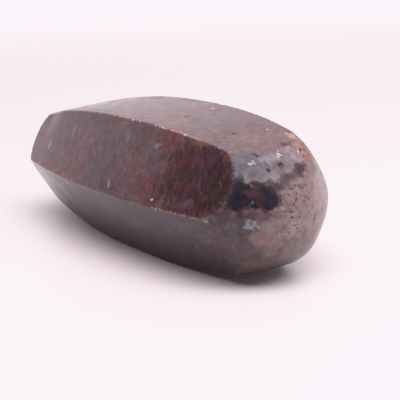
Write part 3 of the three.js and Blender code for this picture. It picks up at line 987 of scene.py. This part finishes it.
SPECKLED = [
    ("violet-black", (0.8, 1.1, 1.1), 0.52, 0.68, 0.45),
    ("rosy grey", (0.45, 0.7, 0.7), 0.56, 0.70, 0.20),
    ("brick red", (1.0, 0.8, 0.8), 0.57, 0.71, 0.25),
    ("pale grey", (0.14, 0.5, 0.5), 0.66, 0.78, 0.20),
]
STREAKS = {
    "front upper": CROSSWISE, "back upper": CROSSWISE, "front lower": SPECKLED, "back lower": SPECKLED,
    "bottom": SPECKLED, "top": LENGTHWISE, "near dome": ALL_WAYS, "far dome": ALL_WAYS,
}


def lay_swings(colour, layers, places, start_at):
    """Lays noise-shaped tints over a colour, each layer with noise from another place."""
    for number, (tint, sizes, start, full, strength) in enumerate(layers):
        apart = [start_at + LAYERS_APART * number] * 3
        sized = {"Vector": places, "Location": apart, "Scale": [1 / size for size in sizes]}
        swings = {"Vector": node(tree, "ShaderNodeMapping", sized).outputs[0], "Scale": 1.0, "Detail": 3.0}
        swings = node(tree, "ShaderNodeTexNoise", swings).outputs[0]
        share = {"Value": swings, "From Min": start, "From Max": full, "To Max": strength}
        share = node(tree, "ShaderNodeMapRange", share, **SMOOTH).outputs[0]
        mix = {0: share, MIX_FROM: colour, MIX_TO: linear(PALETTE[tint])}
        colour = node(tree, "ShaderNodeMix", mix, data_type="RGBA").outputs[MIXED]
    return colour


rock = node(tree, "ShaderNodeRGB").outputs[0]
rock.default_value = linear(PALETTE["ruby brown"])
rock = lay_swings(rock, MOTTLE, ruffled, 0.0)
print(len(MOTTLE), "layers of mottle")

# %% [markdown]
# ## One surface after another
# A zone's share is a smooth step down from its middle to its frayed outline. The step ends by itself,
# so no clamp is asked for: clamps on more than two hundred zones would overfill what the renderer
# keeps for one material, and the crystal would turn black. On a face the streaks come last and
# cross the zones, and on a dome they lie below them.

# %% Zones, surface by surface
ZONE_FROM, ZONE_TO = 1.15, 0.6
FRAY = {"near dome": 1.1, "far dome": 1.4}
FRAY_ON_FACES = 1.8
FRAY_SIZES = {name: (0.45, 1.5, 1.0) for name in FACES if name != "top"}
FRAY_SIZES.update({"top": (1.8, 0.6, 1.0), "near dome": (0.8, 0.8, 0.8), "far dome": (0.8, 0.8, 0.8)})


def on_surface(places, surface):
    """Turns places so that X and Y run along and across a face. Those on a dome aren't turned."""
    turned = lean = 0.0
    if surface in FACES:
        turned = -face_angles[face_names.index(surface)] - math.pi / 2
        lean = math.radians(LEANING.get(surface, 0))
    return node(tree, "ShaderNodeMapping", {"Vector": places, "Rotation": (turned, 0, lean)}).outputs[0]


def lay_zones(colour, surface):
    """Lays a surface's zones over a colour. Each is a soft oval, frayed by the surface's streaks."""
    fine, coarse = on_surface(ruffled, surface), on_surface(drifted, surface)
    sized = {"Vector": fine, "Scale": [1 / size for size in FRAY_SIZES[surface]]}
    sized = node(tree, "ShaderNodeMapping", sized).outputs[0]
    frayed = FRAY.get(surface, FRAY_ON_FACES)
    fray = node(tree, "ShaderNodeTexNoise", {"Vector": sized, "Scale": 1.0, "Detail": 3.0}).outputs[0]
    for tint, first, second, reach, width, strength in zones_on[surface]:
        shrink = np.array([1 / reach, 1 / width, 0])
        lean = Matrix.Rotation(math.radians(LEANING.get(surface, 0)), 3, "Z")
        centre = np.array(lean @ Vector((first, second, 0)))
        if surface in DOME_NAMES:
            shrink, centre = np.roll(shrink, 1), np.roll(centre, 1)
        away = {0: coarse if min(reach, width) > RAGGED_ABOVE else fine, 1: shrink, 2: -centre * shrink}
        away = node(tree, "ShaderNodeVectorMath", away, operation="MULTIPLY_ADD").outputs[0]
        away = node(tree, "ShaderNodeVectorMath", {0: away}, operation="LENGTH").outputs["Value"]
        away = {0: fray, 1: frayed, 2: away}
        away = node(tree, "ShaderNodeMath", away, operation="MULTIPLY_ADD").outputs[0]
        starts, full = ZONE_FROM + frayed / 2, ZONE_TO + frayed / 2
        share = {"Value": away, "From Min": starts, "From Max": full, "To Max": strength}
        share = node(tree, "ShaderNodeMapRange", share, **SMOOTH).outputs[0]
        mix = {0: share, MIX_FROM: colour, MIX_TO: linear(PALETTE[tint])}
        colour = node(tree, "ShaderNodeMix", mix, data_type="RGBA").outputs[MIXED]
    return colour


shares = {}
for name in attributes:
    shares[name] = node(tree, "ShaderNodeAttribute", attribute_name=name).outputs["Fac"]
skin_colour = rock
for surface in surfaces:
    tint, strength = GROUNDS[surface]
    mix = {0: strength, MIX_FROM: rock, MIX_TO: linear(PALETTE[tint])}
    tinted = node(tree, "ShaderNodeMix", mix, data_type="RGBA").outputs[MIXED]
    streaks = STREAKS[surface], on_surface(ruffled, surface), STREAKS_START
    if surface in FACES:
        tinted = lay_swings(lay_zones(tinted, surface), *streaks)
    else:
        tinted = lay_zones(lay_swings(tinted, *streaks), surface)
    mix = {0: shares[surface], MIX_FROM: skin_colour, MIX_TO: tinted}
    skin_colour = node(tree, "ShaderNodeMix", mix, data_type="RGBA").outputs[MIXED]
print(len(tree.nodes), "nodes so far")

# %% [markdown]
# ## Grain, flecks and wear
# At a tenth of a millimetre the crystal is a mosaic of grains, some darker and some lighter, with a
# few pale flecks and dark specks. Dirt stays in the pits, rust in the etched vein, a fresh break is
# whitish because it is rough, and an edge is paler than the face beside it because tumbling has
# frosted it.

# %% Grain, flecks and wear
GRAIN_SIZES = ((0.6, 0.6), (0.18, 0.28))
FLECK_SPACING = 0.55
FLECK_CORE = 0.4
FLECKS_APART = 31.0
FLECKS = [("pale grey", 0.94, 0.22, 0.30), ("dirt", 0.88, 0.28, 0.35)]
WEAR = [
    # attribute, tint, strength, and how much of it the grain takes away
    ("edge", "grey mauve", 0.15, 0.5),
    ("frost", "frosted", 0.75, 0.95),
    ("vein", "warm rust", 0.5, 0.8),
    ("pit", "dirt", 0.45, 0.5),
    ("fresh", "fresh break", 0.65, 0.8),
]
BREAK_SIZE, BREAK_FROM, BREAK_TO = 0.25, 0.38, 0.6

for size, contrast in GRAIN_SIZES:
    grain = node(tree, "ShaderNodeTexNoise", {"Vector": place, "Scale": 1 / size, "Detail": 2.0}).outputs[0]
    share = {"Value": grain, "To Min": 1 - contrast, "To Max": 1 + contrast}
    share = node(tree, "ShaderNodeMapRange", share, clamp=False).outputs[0]
    scaled = node(tree, "ShaderNodeVectorMath", {0: skin_colour, "Scale": share}, operation="SCALE")
    skin_colour = scaled.outputs[0]
for number, (tint, rarity, reach, strength) in enumerate(FLECKS):
    apart = {"Vector": ruffled, "Location": [FLECKS_APART * number] * 3}
    apart = node(tree, "ShaderNodeMapping", apart).outputs[0]
    cells = node(tree, "ShaderNodeTexVoronoi", {"Vector": apart, "Scale": 1 / FLECK_SPACING})
    lot = node(tree, "ShaderNodeSeparateColor", {0: cells.outputs["Color"]}).outputs[0]
    chosen = node(tree, "ShaderNodeMath", {0: lot, 1: rarity}, operation="GREATER_THAN").outputs[0]
    share = {"Value": cells.outputs["Distance"], "To Max": strength}
    share.update({"From Min": reach, "From Max": FLECK_CORE * reach})
    share = node(tree, "ShaderNodeMapRange", share, **SMOOTH).outputs[0]
    share = node(tree, "ShaderNodeMath", {0: share, 1: chosen}, operation="MULTIPLY").outputs[0]
    mix = {0: share, MIX_FROM: skin_colour, MIX_TO: linear(PALETTE[tint])}
    skin_colour = node(tree, "ShaderNodeMix", mix, data_type="RGBA").outputs[MIXED]
breaks = {"Vector": place, "Scale": 1 / BREAK_SIZE, "Detail": 2.0}
breaks = node(tree, "ShaderNodeTexNoise", breaks).outputs[0]
for mark, tint, strength, taken in WEAR:
    share = {"Value": breaks, "From Min": BREAK_FROM, "From Max": BREAK_TO}
    share.update({"To Min": strength * (1 - taken), "To Max": strength})
    share = node(tree, "ShaderNodeMapRange", share, **SMOOTH).outputs[0]
    share = node(tree, "ShaderNodeMath", {0: shares[mark], 1: share}, operation="MULTIPLY").outputs[0]
    mix = {0: share, MIX_FROM: skin_colour, MIX_TO: linear(PALETTE[tint])}
    skin_colour = node(tree, "ShaderNodeMix", mix, data_type="RGBA").outputs[MIXED]
tree.links.new(skin_colour, shader.inputs["Base Color"])

# %% [markdown]
# ## Polish
# Corundum has a high refractive index, 1.77, but tumbling leaves a haze that scatters part of the
# reflection, so the mirror-like part is weaker than the index alone would give. The polish is best
# on the flat faces, and the near dome is rubbed a little duller. Fine steps and scratches, none more
# than 0.02 mm deep, are too small for the mesh, so they are bump.

# %% Polish
CORUNDUM_IOR = 1.77
MIRROR_LEVEL = 0.205
POLISH = (0.15, 0.27)
HAZE_SIZE, HAZE_FROM, HAZE_TO = 1.5, 0.3, 0.7
DULLED = {"near dome": 0.08, "vein": 0.25, "fresh": 0.3, "pit": 0.15}
HEIGHTS = [
    # size of the swings in mm, and height in mm
    ((0.22, 2.0, 2.0), 0.008),
    ((0.9, 0.9, 0.9), 0.014),
    ((0.11, 0.11, 0.11), 0.0012),
]

shader.inputs["IOR"].default_value = CORUNDUM_IOR
shader.inputs["Specular IOR Level"].default_value = MIRROR_LEVEL
haze = node(tree, "ShaderNodeTexNoise", {"Vector": place, "Scale": 1 / HAZE_SIZE, "Detail": 4.0}).outputs[0]
polish = {"Value": haze, "From Min": HAZE_FROM, "From Max": HAZE_TO}
polish.update({"To Min": POLISH[0], "To Max": POLISH[1]})
polish = node(tree, "ShaderNodeMapRange", polish).outputs[0]
for mark, dulling in DULLED.items():
    dulled = {0: shares[mark], 1: dulling, 2: polish}
    polish = node(tree, "ShaderNodeMath", dulled, operation="MULTIPLY_ADD").outputs[0]
tree.links.new(polish, shader.inputs["Roughness"])
height = 0.0
for sizes, rise in HEIGHTS:
    sized = {"Vector": place, "Scale": [1 / size for size in sizes]}
    sized = node(tree, "ShaderNodeMapping", sized).outputs[0]
    swings = node(tree, "ShaderNodeTexNoise", {"Vector": sized, "Scale": 1.0, "Detail": 3.0}).outputs[0]
    raised = {0: swings, 1: rise, 2: height}
    height = node(tree, "ShaderNodeMath", raised, operation="MULTIPLY_ADD").outputs[0]
bump = node(tree, "ShaderNodeBump", {"Height": height, "Distance": MM, "Strength": 1.0})
tree.links.new(bump.outputs["Normal"], shader.inputs["Normal"])
crystal.data.materials.append(ruby)
print("ruby:", len(tree.nodes), "nodes")

# %% [markdown]
# ## The table
# The crystal lies on a plain glossy white sheet. The sheet glows faintly pink of its own, which is
# painted light: it lifts the darkest part of the shadow and tints it as the crystal's reflection in
# the sheet would. The sheet isn't part of the object.

# %% Table
SHEET_SIDE = 4.0
SHEET_COLOUR = (0.46, 0.43, 0.402, 1)
SHEET_ROUGHNESS = 0.35
# GLOW_COLOUR and SHEET_GLOW are painted light: a faint pink emission from the sheet, which is no lamp.
GLOW_COLOUR, SHEET_GLOW = (1.0, 0.78, 0.84, 1), 0.027

bpy.ops.object.select_all(action="DESELECT")
bpy.ops.mesh.primitive_plane_add(size=SHEET_SIDE, location=(0, 0, 0))
floor = bpy.context.object
floor.name = "table"
table = bpy.data.materials.new("glossy white acrylic")
table.use_nodes = True
shader = table.node_tree.nodes["Principled BSDF"]
shader.inputs["Base Color"].default_value = SHEET_COLOUR
shader.inputs["Roughness"].default_value = SHEET_ROUGHNESS
shader.inputs["Emission Color"].default_value = GLOW_COLOUR
shader.inputs["Emission Strength"].default_value = SHEET_GLOW
floor.data.materials.append(table)

# %% [markdown]
# ## The light tent
# A polished stone shows its surroundings, so the light is a tent and not a lamp: a bright cloth all
# round, brighter overhead, with the dark room behind the camera showing as the opening in front.
# The opening is what makes the near dome's dark band, and the dark zones on the dome paint that
# reflection as well. A small strong panel overhead gives the soft shadow, and a second one further
# back keeps the far table as white as the near.

# %% Light tent
TENT_COLOUR = (0.85, 0.81, 0.85, 1)
ROOF_COLOUR = (1.45, 1.38, 1.45, 1)
OPENING_COLOUR = (0.03, 0.03, 0.033, 1)
OPENING_EDGES = {"left": (-66, -36), "right": (64, 94)}
ROOF_EDGE = (0.66, 0.76)
CAMERA_WHITE = (1.0, 0.95, 1.0)
CAMERA_SHOULDER = ((0.6, 0.6), (0.85, 0.82), (1.05, 0.92), (1.5, 0.955))

scene = bpy.context.scene
scene.view_settings.view_transform = "Standard"
scene.view_settings.use_curve_mapping = True
response = scene.view_settings.curve_mapping
response.clip_max_x = 2.0
response.extend = "HORIZONTAL"
for channel, white in enumerate(CAMERA_WHITE):
    curve = response.curves[channel]
    curve.points[1].location = (CAMERA_SHOULDER[-1][0], CAMERA_SHOULDER[-1][1] * white)
    for level, shown in CAMERA_SHOULDER[:-1]:
        curve.points.new(level, shown * white)
response.update()
tent = bpy.data.worlds.new("light tent")
scene.world = tent
tent.use_nodes = True
tree = tent.node_tree
background = tree.nodes["Background"]
around_us = node(tree, "ShaderNodeTexCoord")
split = node(tree, "ShaderNodeSeparateXYZ", {0: around_us.outputs["Generated"]})
backwards = node(tree, "ShaderNodeMath", {0: split.outputs["Y"], 1: -1.0}, operation="MULTIPLY")
turn = node(tree, "ShaderNodeMath", {0: split.outputs["X"], 1: backwards.outputs[0]}, operation="ARCTAN2")
edges = []
for (start, end), rising in zip(OPENING_EDGES.values(), (True, False)):
    ramp = {"Value": turn.outputs[0], "From Min": math.radians(start), "From Max": math.radians(end)}
    ramp.update({"To Min": float(not rising), "To Max": float(rising)})
    edges.append(node(tree, "ShaderNodeMapRange", ramp, interpolation_type="SMOOTHSTEP"))
opening = {0: edges[0].outputs[0], 1: edges[1].outputs[0]}
opening = node(tree, "ShaderNodeMath", opening, operation="MULTIPLY")
ramp = {"Value": split.outputs["Z"], "From Min": ROOF_EDGE[0], "From Max": ROOF_EDGE[1]}
roof = node(tree, "ShaderNodeMapRange", ramp, interpolation_type="SMOOTHSTEP")
walls = {0: opening.outputs[0], MIX_FROM: TENT_COLOUR, MIX_TO: OPENING_COLOUR}
walls = node(tree, "ShaderNodeMix", walls, data_type="RGBA").outputs[MIXED]
whole = {0: roof.outputs[0], MIX_FROM: walls, MIX_TO: ROOF_COLOUR}
whole = node(tree, "ShaderNodeMix", whole, data_type="RGBA").outputs[MIXED]
tree.links.new(whole, background.inputs["Color"])

# %% Softboxes
HEADING = math.radians(54.5)
PANEL_HEIGHT = 0.4
PANEL_COLOUR = (1.0, 0.97, 1.0)
PANEL_SIDES = (-0.4, 1.2, -0.8, -0.1)
PANEL_RADIANCE = 11.5
PANEL_SPREAD = 180
REAR_SIDES = (-0.9, 0.9, 0.3, 1.5)
REAR_RADIANCE, REAR_SPREAD = 2.9, 80

to_right = Vector((math.cos(HEADING), math.sin(HEADING), 0))
to_back = Vector((-math.sin(HEADING), math.cos(HEADING), 0))


def softbox(name, left, right, front, back, radiance, spread):
    """A panel that faces down, with its four sides given in metres from the crystal."""
    middle = to_right * (left + right) / 2 + to_back * (front + back) / 2
    place = middle + Vector((0, 0, PANEL_HEIGHT))
    bpy.ops.object.light_add(type="AREA", location=place, rotation=(0, 0, HEADING))
    light = bpy.context.object
    light.name = name
    light.data.shape = "RECTANGLE"
    light.data.size = right - left
    light.data.size_y = back - front
    light.data.energy = radiance * math.pi * (right - left) * (back - front)
    light.data.color = PANEL_COLOUR
    light.data.spread = math.radians(spread)
    light.visible_glossy = False


softbox("overhead softbox", *(side * PANEL_HEIGHT for side in PANEL_SIDES), PANEL_RADIANCE, PANEL_SPREAD)
softbox("rear softbox", *REAR_SIDES, REAR_RADIANCE, REAR_SPREAD)

# %% [markdown]
# ## The camera
# A long lens close to the table looks along the crystal from its near dome. Where it stands was
# worked out above, before the marks were placed.

# %% Camera
bpy.ops.object.camera_add()
camera = bpy.context.object
stand = Matrix.Translation(Vector(eye + axis_at) * MM)
camera.matrix_world = stand @ Matrix(view_ways.T.tolist()).to_4x4()
camera.data.lens = FOCAL_LENGTH
camera.data.sensor_width = SENSOR_WIDTH
camera.data.clip_start = MM
scene.camera = camera
